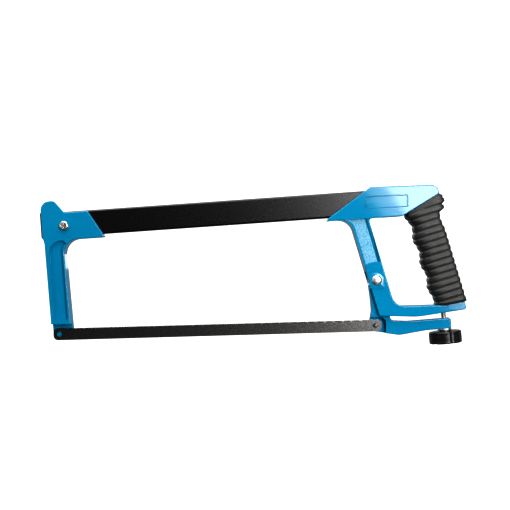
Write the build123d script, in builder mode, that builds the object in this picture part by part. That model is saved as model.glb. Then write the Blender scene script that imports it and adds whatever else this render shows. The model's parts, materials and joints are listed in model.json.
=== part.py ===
from build123d import *
import os
from math import ceil, cos, radians, sin, tan

# Hacksaw: a tilted rectangular tube joins a front bracket to a D-handle, and a
# lever in the handle, drawn up by a knob and screw, pulls the blade tight.
#
# Frame, in millimetres: X runs along the blade from the nose to the handle, Z is
# up and Y = 0 is the mid-plane. The origin is midway between the blade's holes,
# on the line that joins them. The near side, where the blade goes on, is -Y.

# ---------------------------------------------------------------- driving sizes
BLADE_SPAN = 300.0        # between the centres of the blade's two holes
BLADE_HEIGHT = 11.6
BLADE_THICK = 0.65
BLADE_END = 6.0           # from a hole's centre to the end of the blade
BLADE_HOLE = 4.8          # diameter
PIN_DIA = 3.6
PIN_STICKS_OUT = 3.4      # past the blade's near face
PIN_DEPTH = 5.0           # sunk into the bracket or the lever

THROAT = 98.4             # from the pin line up to the tube, at mid-blade
TUBE_TILT = 2.5           # the tube rises towards the handle, degrees
TUBE_HEIGHT = 23.5
TUBE_WIDTH = 12.0
TUBE_WALL = 1.5
TUBE_CORNER = 2.0
TUBE_NOSE = 13.0          # the tube's front end, ahead of the front pin
TUBE_IN_SOCKET = 28.0     # the tube's rear end, behind the rear pin

CAP_FLANGE = 1.4          # thickness outside the tube
CAP_LIP = 0.5             # how far the flange overhangs the tube
CAP_PLUG = 9.0            # depth inside the tube
CAP_WALL = 1.2

CHEEK_WALL = 3.5          # outside the tube, on each side
BRACKET_FLOOR = 3.2       # wall under the tube
BRACKET_SHY = 1.0         # the cheeks stop this far below the tube's top
BRACKET_REACH = 45.8      # the lower tip of the cheeks, behind the front pin
BRACKET_RECESS = 2.6      # depth of the sunk panel on each side
HORN_HEIGHT = 10.8        # above the tube's top
PANEL_RIM_FRONT = 3.2     # rims left round the leg's sunk panel
PANEL_RIM_REAR = 2.4
HORN_LENGTH = 22.0
LEG_AHEAD = 5.9           # the leg's front edge at the pin line, ahead of the pin
LEG_BEHIND = 12.8         # its rear edge there, behind the pin
LEG_FRONT_TILT = 3.2      # degrees
LEG_REAR_TILT = 3.8
FOOT_DROP = 4.6           # the foot's bottom below the pin line
FOOT_STEP = 10.0          # height where the near half of the foot is cut away
THROAT_FILLET = 14.0      # where a leg or a strut meets its sleeve

SOCKET_WALL = 4.5         # outside the tube, on each side
HANDLE_TILT = 15.3        # strut and grip lean forwards, degrees
SOCKET_FLOOR = 3.0        # wall under the tube
SOCKET_ROOF = 3.1         # wall over the tube
SOCKET_REACH = 47.5       # the socket's lower tip, ahead of the rear pin
SOCKET_TOP_REACH = 1.8
STRUT_FRONT = 5.5         # lines of the handle at the pin line, behind the pin
STRUT_REAR = 22.9
GRIP_FRONT = 61.3
GRIP_REAR = 92.6
HEAD_REAR = 62.4          # the head's rounded rear end, behind the rear pin
HEAD_CROWN = 0.6          # the head's top above its front corner
STRUT_RIM = 3.6
STRUT_SHY = 0.8           # the strut's sides lie this far inside the cheeks'
CHEEK_FRONT_TOP = 55.0    # the arched top of the cheeks: front, crown and rear heights
CHEEK_CROWN = 60.3
CHEEK_REAR_TOP = 59.0
CHEEK_SPARE = 3.0         # the arch is drawn this far past the strut's edges
BASE_TOP = 18.0
BASE_BOTTOM = 7.6
BASE_REAR = 86.0
EDGE_ROUND = 1.0          # rounded edges of the castings
STRUT_RECESS = 3.0        # depth of the strut's sunk panel
LABEL_LENGTH = 41.0
LABEL_HEIGHT = 12.3
LABEL_DEPTH = 0.6
LABEL_TILT = 1.2

GRIP_THICK = 27.0
GRIP_CORNER = 9.0
GRIP_SWELL = 1.3          # finger swells on the front of the grip
SWELL_FIRST = 20.7        # the lowest finger swell, up the grip from the base
SWELL_PITCH = 23.9
GRIP_OVERRUN = 12.0       # the grip is made this much longer, then cut at its seams
CORE_INSET = 3.6          # rubber thickness ahead of and behind the core
CORE_THICK = 16.0
THUMB_REST = 4.6          # the rubber stands out behind the head

LEVER_THICK = 11.0
LEVER_GAP = 0.4           # between the lever and each cheek
LEVER_EYE = 7.2           # radius round the rivet
LEVER_END = 72.0          # the arm's end, behind the rear pin
ARM_TOP = 5.0             # the arm's top at the screw
POCKET_GAP = 2.4          # over the blade's end in its pocket
POCKET_BEHIND = 3.6       # behind the blade's end
LEVER_BACK = 12.5         # the upright's rear edge where it meets the arm
RIVET_X = 1.1             # behind the rear pin's hole
RIVET_Z = 43.3
RIVET_DIA = 5.0
RIVET_HEAD = 9.8
RIVET_HEAD_HIGH = 2.6
RIVET_TAIL = 1.6

SCREW_DIA = 5.0
SCREW_X = 65.4            # the tension screw's axis at SCREW_Z, behind the pin
SCREW_Z = 7.0
SCREW_LEAN = 3.5          # degrees, its foot towards the rear
SCREW_SLOT = 8.0          # length of the hole in the lever's arm
SLOT_GAP = 0.4
SLOT_BACK = 0.5           # the slot's centre, behind the screw's axis
SEAT_DROP = 11.7          # from SCREW_Z down the axis to the arm's underside
WASHER_DIA = 13.0
WASHER_THICK = 1.2
KNOB_DIA = 31.0
KNOB_LOBES = 5
KNOB_HEIGHT = 11.5
KNOB_COLLAR = 1.2
KNOB_PHASE = 16.6         # one groove, from the near side towards the rear, degrees
KNOB_CROWN = 2.5          # plastic under the screw's lower end
KNOB_SCALLOP = 3.6        # radius of the grooves between the lobes
INSERT_DIA = 9.0
INSERT_LENGTH = 9.0
INSERT_START = 3.6        # its lower end, up the screw's axis from SCREW_Z
SCREW_PAST_INSERT = 8.0

FIX_DIA = 4.0             # the bracket's and the socket's screws
FIX_HEAD = 9.0
FIX_HEAD_HIGH = 2.4
BRACKET_SCREW_BACK = 8.0  # behind the front pin, along the tube
BRACKET_SCREW_LOW = 1.6   # below the tube's centreline
SOCKET_SCREW_BACK = 12.0
LOCK_WASHER_THICK = 1.0
NUT_THICK = 3.2
NUT_FLATS = 7.0

RUN_GAP = 0.05            # radial clearance of pins, rivets and threads
FIT_GAP = 0.1             # round the tube in its sleeves
SEAT_GAP = 0.05           # behind the blade

# ---------------------------------------------------------------- derived places
BRACKET_WIDTH = TUBE_WIDTH + 2 * CHEEK_WALL
HANDLE_WIDTH = TUBE_WIDTH + 2 * SOCKET_WALL
front = -BLADE_SPAN / 2
rear = BLADE_SPAN / 2
pin_offset = BLADE_HOLE / 2 - PIN_DIA / 2 - RUN_GAP
front_pin_x = front - pin_offset
rear_pin_x = rear + pin_offset
rivet_at = (rear + RIVET_X, RIVET_Z)
lean = tan(radians(HANDLE_TILT))

tube_middle = THROAT + TUBE_HEIGHT / 2 / cos(radians(TUBE_TILT))
tube_plane = Plane(
    origin=(0, 0, tube_middle),
    x_dir=(cos(radians(TUBE_TILT)), 0, sin(radians(TUBE_TILT))),
    z_dir=(0, -1, 0),
)
nose_end = front - TUBE_NOSE
socket_end = rear + TUBE_IN_SOCKET
tube_low = -TUBE_HEIGHT / 2
tube_high = TUBE_HEIGHT / 2

screw_axis = Axis(
    (rear + SCREW_X, 0, SCREW_Z),
    (-sin(radians(SCREW_LEAN)), 0, cos(radians(SCREW_LEAN))),
)
screw_plane = Plane(origin=screw_axis.position, x_dir=(0, -1, 0), z_dir=screw_axis.direction)
insert_top = INSERT_LENGTH + INSERT_START
screw_top = insert_top + SCREW_PAST_INSERT
label_plane = Plane(
    origin=tube_plane.from_local_coords((rear + 12.5, 0, 0)),
    x_dir=(cos(radians(LABEL_TILT)), 0, sin(radians(LABEL_TILT))),
    z_dir=(0, -1, 0),
)


def from_tube(along, across):
    """The (X, Z) of a point given along the tube and across it."""
    point = tube_plane.from_local_coords((along, across, 0))
    return (point.X, point.Z)


def handle_line(offset, height):
    """The (X, Z) at a height on a line that leans with the handle."""
    return (rear + offset - height * lean, height)


def leaning_meets_tube(offset, across):
    """Where a line of the handle meets a line parallel to the tube."""
    slope = tan(radians(TUBE_TILT))
    start = from_tube(0, across)[1]
    height = (start + slope * (rear + offset)) / (1 + slope * lean)
    return handle_line(offset, height)


def leg_line(offset, tilt, height):
    """The (X, Z) at a height on one of the front leg's edges."""
    return (front + offset - height * tan(radians(tilt)), height)


def leg_meets_tube(offset, tilt, across):
    """Where an edge of the front leg meets a line parallel to the tube."""
    slope = tan(radians(TUBE_TILT))
    start = from_tube(0, across)[1]
    height = (start + slope * (front + offset)) / (1 + slope * tan(radians(tilt)))
    return leg_line(offset, tilt, height)


def save(piece, name):
    piece.part.label = name
    export_step(piece.part, f"parts/{name}.step")


os.makedirs("parts", exist_ok=True)

# ---------------------------------------------------------------- frame tube
tube_section = Plane(
    origin=tube_plane.from_local_coords((nose_end, 0, 0)),
    x_dir=(0, 1, 0),
    z_dir=tube_plane.x_dir,
)
with BuildPart() as frame_tube:
    with BuildSketch(tube_section):
        RectangleRounded(TUBE_WIDTH, TUBE_HEIGHT, TUBE_CORNER)
        RectangleRounded(
            TUBE_WIDTH - 2 * TUBE_WALL,
            TUBE_HEIGHT - 2 * TUBE_WALL,
            TUBE_CORNER - TUBE_WALL / 2,
            mode=Mode.SUBTRACT,
        )
    extrude(amount=socket_end - nose_end)
    with BuildSketch(tube_plane):
        with Locations((front + BRACKET_SCREW_BACK, -BRACKET_SCREW_LOW)):
            Circle(FIX_DIA / 2 + RUN_GAP)
    extrude(amount=TUBE_WIDTH, both=True, mode=Mode.SUBTRACT)
    with BuildSketch(tube_plane):
        with Locations((rear + SOCKET_SCREW_BACK, 0)):
            Circle(FIX_DIA / 2 + RUN_GAP)
    extrude(amount=-TUBE_WIDTH, mode=Mode.SUBTRACT)

# ---------------------------------------------------------------- end cap
with BuildPart() as tube_end_cap:
    with BuildSketch(tube_section):
        RectangleRounded(TUBE_WIDTH + 2 * CAP_LIP, TUBE_HEIGHT + 2 * CAP_LIP, TUBE_CORNER)
    extrude(amount=-CAP_FLANGE)
    chamfer(tube_end_cap.faces().sort_by(Axis.X)[0].edges(), CAP_FLANGE / 3)
    inner_width = TUBE_WIDTH - 2 * TUBE_WALL - 2 * FIT_GAP
    inner_height = TUBE_HEIGHT - 2 * TUBE_WALL - 2 * FIT_GAP
    with BuildSketch(tube_section):
        RectangleRounded(inner_width, inner_height, TUBE_CORNER - TUBE_WALL / 2)
        RectangleRounded(
            inner_width - 2 * CAP_WALL,
            inner_height - 2 * CAP_WALL,
            TUBE_CORNER / 2,
            mode=Mode.SUBTRACT,
        )
    extrude(amount=CAP_PLUG)

# ---------------------------------------------------------------- front bracket
sleeve_low = tube_low - BRACKET_FLOOR
cheek_top = tube_high - BRACKET_SHY
horn_top = tube_high + HORN_HEIGHT
horn_back = nose_end + HORN_LENGTH
leg_front_top = leg_meets_tube(-LEG_AHEAD, LEG_FRONT_TILT, sleeve_low - 2.0)
leg_rear_top = leg_meets_tube(LEG_BEHIND, LEG_REAR_TILT, sleeve_low)
panel_neck_front = from_tube(front - 7.4, sleeve_low - 8.4)
panel_shoulder = from_tube(front - 3.0, sleeve_low - 2.6)
panel_apex = from_tube(front + 3.8, sleeve_low - 0.2)
panel_crown = from_tube(front + 7.0, sleeve_low - 1.2)
panel_wing = from_tube(front + 8.8, sleeve_low - 3.6)
panel_hook = from_tube(front + 5.9, sleeve_low - 6.4)
panel_neck_rear = from_tube(front + 4.9, sleeve_low - 10.5)

with BuildPart() as front_bracket:
    with BuildSketch(Plane.XZ):
        with BuildLine():
            FilletPolyline(
                from_tube(nose_end, sleeve_low + 3.5),
                from_tube(nose_end, horn_top),
                from_tube(nose_end + 13.0, horn_top),
                from_tube(horn_back, cheek_top),
                from_tube(front + 31.0, cheek_top),
                from_tube(front + BRACKET_REACH, sleeve_low),
                leg_rear_top,
                leg_line(LEG_BEHIND, LEG_REAR_TILT, -FOOT_DROP),
                leg_line(-LEG_AHEAD, LEG_FRONT_TILT, -FOOT_DROP),
                leg_front_top,
                radius=[4.0, 8.5, 5.0, 4.0, 2.0, 2.0, THROAT_FILLET, 3.0, 3.0, 4.0],
                close=True,
            )
        make_face()
    extrude(amount=BRACKET_WIDTH / 2, both=True)
    fillet(front_bracket.faces().filter_by(Axis.Y).edges(), EDGE_ROUND)
    # the channel that holds the tube, open above the cheeks
    with BuildSketch(tube_plane):
        with BuildLine():
            Polyline(
                (nose_end - 1, tube_low - FIT_GAP),
                (nose_end - 1, tube_high + FIT_GAP),
                (horn_back, tube_high + FIT_GAP),
                (horn_back, horn_top),
                (front + BRACKET_REACH + 1, horn_top),
                (front + BRACKET_REACH + 1, tube_low - FIT_GAP),
                close=True,
            )
        make_face()
    extrude(amount=TUBE_WIDTH / 2 + FIT_GAP, both=True, mode=Mode.SUBTRACT)
    # the sunk panel on each side of the leg, with a leaf-shaped top
    for side in (-1, 1):
        with BuildSketch(Plane.XZ.offset(side * (BRACKET_WIDTH / 2 - BRACKET_RECESS))):
            with BuildLine():
                FilletPolyline(
                    panel_neck_front,
                    leg_line(PANEL_RIM_FRONT - LEG_AHEAD, LEG_FRONT_TILT, FOOT_STEP + 4),
                    leg_line(LEG_BEHIND - PANEL_RIM_REAR, LEG_REAR_TILT, FOOT_STEP + 4),
                    panel_neck_rear,
                    radius=1.8,
                )
                ThreePointArc(panel_neck_rear, panel_hook, panel_wing)
                ThreePointArc(panel_wing, panel_crown, panel_apex)
                ThreePointArc(panel_apex, panel_shoulder, panel_neck_front)
            make_face()
        extrude(amount=side * BRACKET_WIDTH, mode=Mode.SUBTRACT)
    # the near half of the foot is cut away to seat the blade on the mid-plane
    with BuildSketch(Plane.XZ.offset(-BLADE_THICK / 2 - SEAT_GAP)):
        with Locations((front, FOOT_STEP - BRACKET_WIDTH)):
            Rectangle(4 * BRACKET_WIDTH, 2 * BRACKET_WIDTH)
    extrude(amount=2 * BRACKET_WIDTH, mode=Mode.SUBTRACT)
    with BuildSketch(Plane.XZ.offset(-PIN_DEPTH - BLADE_THICK / 2)):
        with Locations((front_pin_x, 0)):
            Circle(PIN_DIA / 2)
    extrude(amount=PIN_DEPTH, mode=Mode.SUBTRACT)
    with BuildSketch(tube_plane):
        with Locations((front + BRACKET_SCREW_BACK, -BRACKET_SCREW_LOW)):
            Circle(FIX_DIA / 2 + RUN_GAP)
    extrude(amount=BRACKET_WIDTH, both=True, mode=Mode.SUBTRACT)

# ---------------------------------------------------------------- handle frame
socket_low = tube_low - SOCKET_FLOOR
socket_high = tube_high + SOCKET_ROOF
head_front = from_tube(rear - SOCKET_TOP_REACH, socket_high)
head_top = head_front[1] + HEAD_CROWN
head_low = leaning_meets_tube(GRIP_FRONT - 6.0, socket_low)
lip = socket_low + 0.3
cheek_front = handle_line(STRUT_FRONT - CHEEK_SPARE, CHEEK_FRONT_TOP)
cheek_crown = handle_line((STRUT_FRONT + STRUT_REAR) / 2, CHEEK_CROWN)
cheek_rear = handle_line(STRUT_REAR + CHEEK_SPARE, CHEEK_REAR_TOP)
grip_line = (rear + HEAD_REAR, head_top - 8.5)
socket_corners = [
    (rear - SOCKET_REACH - 5, tube_low - FIT_GAP),
    (rear - SOCKET_REACH - 5, tube_high + FIT_GAP),
    (socket_end + FIT_GAP, tube_high + FIT_GAP),
    (socket_end + FIT_GAP, tube_low - FIT_GAP),
]
core_corners = [
    handle_line(GRIP_FRONT + CORE_INSET, BASE_TOP - 2),
    leaning_meets_tube(GRIP_FRONT + CORE_INSET, socket_low + 6),
    leaning_meets_tube(GRIP_REAR - CORE_INSET - 4, socket_low + 16),
    handle_line(GRIP_REAR - CORE_INSET, BASE_TOP - 2),
]


def cheek_outline():
    """The cheek under its arched top, closed well below it."""
    ThreePointArc(cheek_front, cheek_crown, cheek_rear)
    Polyline(
        cheek_rear,
        handle_line(STRUT_REAR + CHEEK_SPARE, RIVET_Z),
        handle_line(STRUT_FRONT - CHEEK_SPARE, RIVET_Z),
        cheek_front,
    )


with BuildPart() as handle_frame:
    with BuildSketch(Plane.XZ):
        with BuildLine():
            FilletPolyline(
                from_tube(rear - SOCKET_REACH, socket_low),
                head_front,
                (rear + HEAD_REAR, head_top),
                grip_line,
                head_low,
                leaning_meets_tube(STRUT_REAR, socket_low),
                handle_line(STRUT_REAR, BASE_TOP),
                (rear + GRIP_FRONT + 5.0, BASE_TOP),
                (rear + BASE_REAR - 1.8, BASE_TOP + 3.4),
                (rear + BASE_REAR, BASE_BOTTOM + 6.0),
                (rear + 39.0, BASE_BOTTOM),
                handle_line(STRUT_FRONT, BASE_BOTTOM + 1.8),
                leaning_meets_tube(STRUT_FRONT, socket_low),
                radius=[1.3, 2.5, 7.5, 1.3, 2.0, 3.0, 13.0, 20.0, 2.0, 2.5, 60.0, 2.0, THROAT_FILLET],
                close=True,
            )
        make_face()
    extrude(amount=HANDLE_WIDTH / 2, both=True)
    fillet(handle_frame.faces().filter_by(Axis.Y).edges(), EDGE_ROUND)
    # the core that the grip is moulded on
    with BuildSketch(Plane.XZ):
        with BuildLine():
            Polyline(*core_corners, close=True)
        make_face()
    extrude(amount=CORE_THICK / 2, both=True)
    # the blind socket for the tube
    with BuildSketch(tube_plane):
        Polygon(*socket_corners, align=None)
    extrude(amount=TUBE_WIDTH / 2 + FIT_GAP, both=True, mode=Mode.SUBTRACT)
    # the slot between the cheeks, open in front and below, for the lever
    with BuildSketch(Plane.XZ):
        with BuildLine():
            FilletPolyline(
                (rear - 20.0, -5.0),
                (rear - 20.0, RIVET_Z + LEVER_EYE + 1.0),
                (rear + RIVET_X + LEVER_EYE + 1.0, RIVET_Z + LEVER_EYE + 1.0),
                (rear + LEVER_BACK + 1.4, BASE_BOTTOM + 5.5),
                (rear + LEVER_BACK + 6.5, BASE_BOTTOM - 3.0),
                (rear + LEVER_BACK + 6.5, -5.0),
                radius=[0, LEVER_EYE, 2.0, 0],
            )
            Line((rear + LEVER_BACK + 6.5, -5.0), (rear - 20.0, -5.0))
        make_face()
    extrude(amount=LEVER_THICK / 2 + LEVER_GAP, both=True, mode=Mode.SUBTRACT)
    # on both sides: the strut set in from the cheeks, its sunk panel, and a label's panel
    for side in (-1, 1):
        with BuildSketch(Plane.XZ.offset(side * (HANDLE_WIDTH / 2 - STRUT_SHY))):
            with BuildLine():
                Polyline(
                    from_tube(rear - SOCKET_REACH, lip),
                    leaning_meets_tube(STRUT_REAR + CHEEK_SPARE, lip),
                    handle_line(STRUT_REAR + CHEEK_SPARE, RIVET_Z),
                    handle_line(STRUT_FRONT - CHEEK_SPARE, RIVET_Z),
                    leaning_meets_tube(STRUT_FRONT - CHEEK_SPARE, socket_low - THROAT_FILLET),
                    from_tube(rear - SOCKET_REACH, socket_low - THROAT_FILLET),
                    close=True,
                )
            make_face()
            with BuildLine():
                cheek_outline()
            make_face(mode=Mode.SUBTRACT)
        extrude(amount=side * HANDLE_WIDTH, mode=Mode.SUBTRACT)
        with BuildSketch(Plane.XZ.offset(side * (HANDLE_WIDTH / 2 - STRUT_RECESS))):
            with BuildLine():
                FilletPolyline(
                    from_tube(rear - 33.0, lip),
                    leaning_meets_tube(STRUT_REAR - STRUT_RIM, lip),
                    handle_line(STRUT_REAR - STRUT_RIM, RIVET_Z),
                    handle_line(STRUT_FRONT + 2.0, RIVET_Z),
                    leaning_meets_tube(STRUT_FRONT + 2.0, socket_low - 2.0),
                    radius=[0.5, 3.0, 0, 0, 10.0],
                    close=True,
                )
            make_face()
            with BuildLine():
                cheek_outline()
            make_face(mode=Mode.SUBTRACT)
        extrude(amount=side * HANDLE_WIDTH, mode=Mode.SUBTRACT)
        with BuildSketch(label_plane.offset(side * (HANDLE_WIDTH / 2 - LABEL_DEPTH))):
            RectangleRounded(LABEL_LENGTH, LABEL_HEIGHT, 1.8)
        extrude(amount=side * HANDLE_WIDTH, mode=Mode.SUBTRACT)
    with BuildSketch(Plane.XZ):
        with Locations(rivet_at):
            Circle(RIVET_DIA / 2 + RUN_GAP)
    extrude(amount=HANDLE_WIDTH, both=True, mode=Mode.SUBTRACT)
    # the screw's insert and the blind bore above it
    with BuildSketch(screw_plane):
        Circle(INSERT_DIA / 2)
    extrude(amount=insert_top, mode=Mode.SUBTRACT)
    with BuildSketch(screw_plane):
        Circle(SCREW_DIA / 2 + 0.5)
    extrude(amount=screw_top + 3.0, mode=Mode.SUBTRACT)
    with BuildSketch(tube_plane):
        with Locations((rear + SOCKET_SCREW_BACK, 0)):
            Circle(FIX_DIA / 2 + RUN_GAP)
    extrude(amount=-HANDLE_WIDTH, mode=Mode.SUBTRACT)

# ---------------------------------------------------------------- grip
grip_tall = (head_low[1] - BASE_TOP) / cos(radians(HANDLE_TILT))
grip_plane = Plane(
    origin=(rear + (GRIP_FRONT + GRIP_REAR) / 2 - BASE_TOP * lean, 0, BASE_TOP),
    x_dir=(cos(radians(HANDLE_TILT)), 0, sin(radians(HANDLE_TILT))),
    z_dir=(-sin(radians(HANDLE_TILT)), 0, cos(radians(HANDLE_TILT))),
)
grip_wide = (GRIP_REAR - GRIP_FRONT) * cos(radians(HANDLE_TILT))
half_swells = ceil((grip_tall + GRIP_OVERRUN - SWELL_FIRST) / SWELL_PITCH * 2)
with BuildPart() as handle_grip:
    for half in range(-3, half_swells + 1):
        height = SWELL_FIRST + half * SWELL_PITCH / 2
        swell = GRIP_SWELL * (-1) ** half
        with BuildSketch(grip_plane.offset(height)):
            with Locations((-swell / 2, 0)):
                RectangleRounded(grip_wide + swell, GRIP_THICK, GRIP_CORNER)
    loft()
    # the thumb rest behind the head
    with BuildSketch(Plane.XZ):
        with BuildLine():
            FilletPolyline(
                head_low,
                (grip_line[0] + 1.0, grip_line[1] + 1.0),
                (grip_line[0] + THUMB_REST, grip_line[1] - 5.5),
                (grip_line[0] + THUMB_REST, grip_line[1] - 13.5),
                handle_line(GRIP_REAR - 1.0, head_low[1] - 6.0),
                handle_line(GRIP_FRONT + 4.0, head_low[1] - 12.0),
                radius=[0, 0.5, 3.0, 3.0, 8.0, 6.0],
                close=True,
            )
        make_face()
    extrude(amount=GRIP_THICK / 2 - 2.0, both=True)
    # cut along the seam under the head, along the base, and round the core
    with BuildSketch(Plane.XZ):
        with BuildLine():
            Polyline(
                (head_low[0] - 20.0, head_low[1]),
                head_low,
                grip_line,
                (grip_line[0] + 20.0, grip_line[1] + 12.9),
                (grip_line[0] + 20.0, head_top + 60.0),
                (head_low[0] - 20.0, head_top + 60.0),
                close=True,
            )
        make_face()
    extrude(amount=GRIP_THICK, both=True, mode=Mode.SUBTRACT)
    with BuildSketch(Plane.XZ):
        with BuildLine():
            Polyline(
                (rear + GRIP_FRONT - 30.0, BASE_TOP),
                (rear + GRIP_FRONT + 5.0, BASE_TOP),
                (rear + BASE_REAR - 1.8, BASE_TOP + 3.4),
                (rear + BASE_REAR + 30.0, BASE_TOP + 10.0),
                (rear + BASE_REAR + 30.0, BASE_TOP - 40.0),
                (rear + GRIP_FRONT - 30.0, BASE_TOP - 40.0),
                close=True,
            )
        make_face()
    extrude(amount=GRIP_THICK, both=True, mode=Mode.SUBTRACT)
    with BuildSketch(Plane.XZ):
        with BuildLine():
            Polyline(*core_corners, close=True)
        make_face()
    extrude(amount=CORE_THICK / 2, both=True, mode=Mode.SUBTRACT)
    with BuildSketch(tube_plane):
        Polygon(*socket_corners, align=None)
    extrude(amount=TUBE_WIDTH / 2 + FIT_GAP, both=True, mode=Mode.SUBTRACT)
    add(handle_frame.part, mode=Mode.SUBTRACT)

# ---------------------------------------------------------------- saw blade
with BuildPart() as saw_blade:
    with BuildSketch(Plane.XZ):
        RectangleRounded(BLADE_SPAN + 2 * BLADE_END, BLADE_HEIGHT, 4.5)
        with Locations((front, 0), (rear, 0)):
            Circle(BLADE_HOLE / 2, mode=Mode.SUBTRACT)
    extrude(amount=BLADE_THICK / 2, both=True)


def blade_pin(centre_x):
    """A dome-ended pin that stands on the near side, sunk in its seat."""
    with BuildPart() as pin:
        with BuildSketch(Plane.XZ.offset(-PIN_DEPTH - BLADE_THICK / 2)):
            with Locations((centre_x, 0)):
                Circle(PIN_DIA / 2)
        extrude(amount=PIN_DEPTH + BLADE_THICK + PIN_STICKS_OUT)
        fillet(pin.faces().sort_by(Axis.Y)[0].edges(), PIN_DIA / 5)
    return pin


front_blade_pin = blade_pin(front_pin_x)
rear_blade_pin = blade_pin(rear_pin_x)

# ---------------------------------------------------------------- tension lever
seat_plane = screw_plane.offset(-SEAT_DROP)
arm_start = rear + LEVER_BACK


def under_arm(x):
    """Height of the arm's underside, square to the screw, at an X."""
    return seat_plane.origin.Z + (x - seat_plane.origin.X) * tan(radians(SCREW_LEAN))


with BuildPart() as tension_lever:
    with BuildSketch(Plane.XZ):
        with BuildLine():
            FilletPolyline(
                (rear + RIVET_X - LEVER_EYE, RIVET_Z - 2.0),
                (rear - 4.3, 25.0),
                (rear - 3.6, 14.0),
                (rear - 5.4, 4.5),
                (rear - 4.6, -5.2),
                (rear + 22.0, -9.6),
                (rear + 47.0, under_arm(rear + 47.0)),
                (rear + LEVER_END, under_arm(rear + LEVER_END)),
                (rear + LEVER_END - 0.6, ARM_TOP + 0.6),
                (rear + 31.0, ARM_TOP - 1.6),
                (arm_start + 2.0, ARM_TOP - 0.6),
                (arm_start, BASE_BOTTOM + 6.0),
                (rear + RIVET_X + LEVER_EYE, RIVET_Z - 2.0),
                radius=[3.0, 12.0, 8.0, 3.0, 2.0, 14.0, 20.0, 1.5, 1.5, 30.0, 5.0, 8.0, 3.0],
                close=True,
            )
        make_face()
    extrude(amount=LEVER_THICK / 2, both=True)
    fillet(tension_lever.faces().filter_by(Axis.Y).edges(), EDGE_ROUND)
    with BuildSketch(Plane.XZ):
        with Locations(rivet_at):
            Circle(LEVER_EYE)
    extrude(amount=LEVER_THICK / 2, both=True)
    # the pocket on the near side that seats the blade's rear end
    with BuildSketch(Plane.XZ.offset(-BLADE_THICK / 2 - SEAT_GAP)):
        with BuildLine():
            FilletPolyline(
                (rear - 20.0, BLADE_HEIGHT / 2 + POCKET_GAP),
                (rear + BLADE_END + POCKET_BEHIND, BLADE_HEIGHT / 2 + POCKET_GAP),
                (rear + BLADE_END + POCKET_BEHIND, -30.0),
                (rear - 20.0, -30.0),
                radius=[0, 6.0, 0, 0],
                close=True,
            )
        make_face()
    extrude(amount=LEVER_THICK, mode=Mode.SUBTRACT)
    with BuildSketch(Plane.XZ):
        with Locations(rivet_at):
            Circle(RIVET_DIA / 2 + RUN_GAP)
    extrude(amount=LEVER_THICK, both=True, mode=Mode.SUBTRACT)
    with BuildSketch(Plane.XZ.offset(-PIN_DEPTH - BLADE_THICK / 2)):
        with Locations((rear_pin_x, 0)):
            Circle(PIN_DIA / 2)
    extrude(amount=PIN_DEPTH, mode=Mode.SUBTRACT)
    # the screw's slot: longer along the arm, for the swing
    with BuildSketch(screw_plane):
        with Locations((0, SLOT_BACK)):
            SlotOverall(SCREW_SLOT, SCREW_DIA + 2 * SLOT_GAP, rotation=90)
    extrude(amount=4 * SEAT_DROP, both=True, mode=Mode.SUBTRACT)

# ---------------------------------------------------------------- rivet
with BuildPart() as lever_rivet:
    with BuildSketch(Plane.XZ.offset(HANDLE_WIDTH / 2)):
        with Locations(rivet_at):
            Circle(RIVET_HEAD / 2)
    extrude(amount=RIVET_HEAD_HIGH)
    fillet(lever_rivet.faces().sort_by(Axis.Y)[0].edges(), RIVET_HEAD_HIGH - 0.3)
    with BuildSketch(Plane.XZ.offset(-HANDLE_WIDTH / 2 - WASHER_THICK)):
        with Locations(rivet_at):
            Circle(RIVET_DIA / 2)
    extrude(amount=HANDLE_WIDTH + WASHER_THICK)
    with BuildSketch(Plane.XZ.offset(-HANDLE_WIDTH / 2 - WASHER_THICK)):
        with Locations(rivet_at):
            Circle(RIVET_DIA * 0.75)
    extrude(amount=-RIVET_TAIL)
    fillet(lever_rivet.faces().sort_by(Axis.Y)[-1].edges(), RIVET_TAIL - 0.2)

with BuildPart() as rivet_washer:
    with BuildSketch(Plane.XZ.offset(-HANDLE_WIDTH / 2 - WASHER_THICK)):
        with Locations(rivet_at):
            Circle(RIVET_HEAD / 2 + 1.0)
            Circle(RIVET_DIA / 2 + RUN_GAP, mode=Mode.SUBTRACT)
    extrude(amount=WASHER_THICK)

# ---------------------------------------------------------------- tension screw, washer, knob, insert
knob_top = seat_plane.offset(-WASHER_THICK)
with BuildPart() as screw_washer:
    with BuildSketch(seat_plane):
        Circle(WASHER_DIA / 2)
        Circle(SCREW_DIA / 2 + RUN_GAP, mode=Mode.SUBTRACT)
    extrude(amount=-WASHER_THICK)

with BuildPart() as tension_knob:
    with BuildSketch(knob_top):
        Circle(WASHER_DIA / 2 - 1.0)
    extrude(amount=-KNOB_COLLAR)
    with BuildSketch(knob_top.offset(-KNOB_COLLAR)):
        Circle(KNOB_DIA / 2)
        with PolarLocations(KNOB_DIA / 2 + KNOB_SCALLOP * 0.35, KNOB_LOBES, KNOB_PHASE):
            Circle(KNOB_SCALLOP, mode=Mode.SUBTRACT)
    extrude(amount=-KNOB_HEIGHT)
    with BuildSketch(knob_top):
        Circle(SCREW_DIA / 2)
    extrude(amount=-KNOB_COLLAR - KNOB_HEIGHT + KNOB_CROWN, mode=Mode.SUBTRACT)

with BuildPart() as tension_screw:
    with BuildSketch(knob_top.offset(-KNOB_COLLAR - KNOB_HEIGHT + KNOB_CROWN)):
        Circle(SCREW_DIA / 2)
    extrude(amount=KNOB_COLLAR + KNOB_HEIGHT - KNOB_CROWN + WASHER_THICK + SEAT_DROP + screw_top)
    chamfer(tension_screw.faces().sort_by(Axis.Z)[-1].edges(), SCREW_DIA / 8)

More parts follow.
